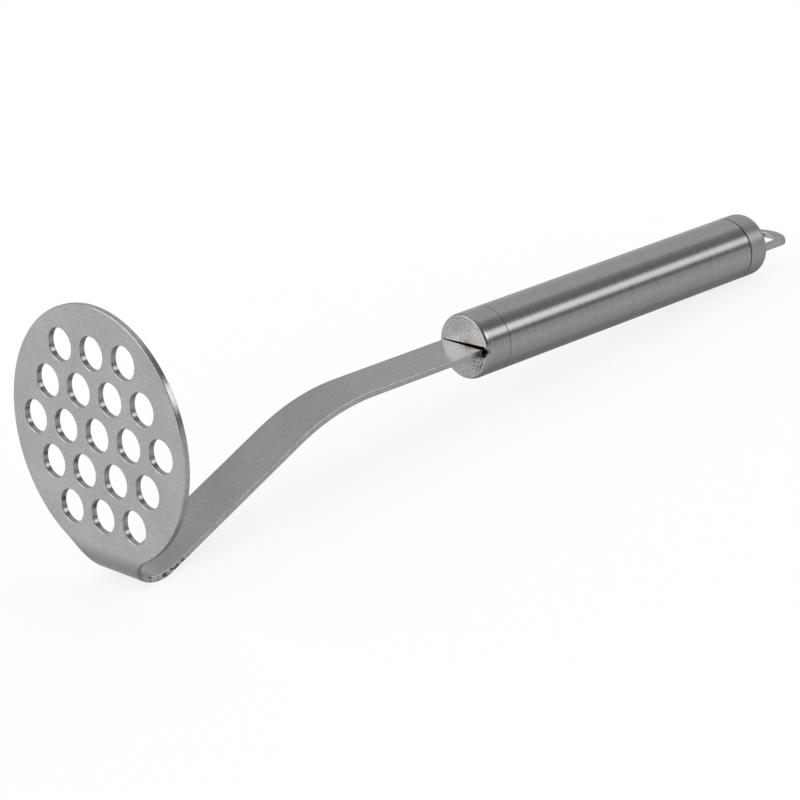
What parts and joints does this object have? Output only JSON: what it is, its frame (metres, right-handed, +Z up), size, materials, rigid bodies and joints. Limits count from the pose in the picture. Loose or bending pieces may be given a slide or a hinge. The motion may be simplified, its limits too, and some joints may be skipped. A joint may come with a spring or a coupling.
{
  "type": "potato masher",
  "caption": "Potato masher with a round perforated plate, an offset bent sheet bar, a capped round tube handle and a flat hanging loop.",
  "frame": {"origin": "bottom centre of the bounding box: z = 0 is the surface that the masher lies on, touched by the foot bend and the handle's rear rim, and y = 0 is the plane of symmetry", "axes": "+X from the mashing plate towards the handle and the hanging loop, +Z up with the plate standing, +Y across the bar"},
  "size_m": [0.3084, 0.0786, 0.0866],
  "materials": {
    "satin_sheet": "satin stainless sheet",
    "brushed_cap": "brushed stainless, turned round the axis",
    "brushed_tube": "brushed stainless, brushed round the tube",
    "loop_sheet": "plain stainless sheet with sheared edges",
    "weld_bead": "dark uncleaned weld"
  },
  "bodies": {
    "root": {"masher_plate": "satin_sheet", "front_cap": "brushed_cap", "grip_tube": "brushed_tube", "rear_cap": "brushed_cap", "hanging_loop": "loop_sheet", "slot_weld": "weld_bead"}
  },
  "joints": []
}
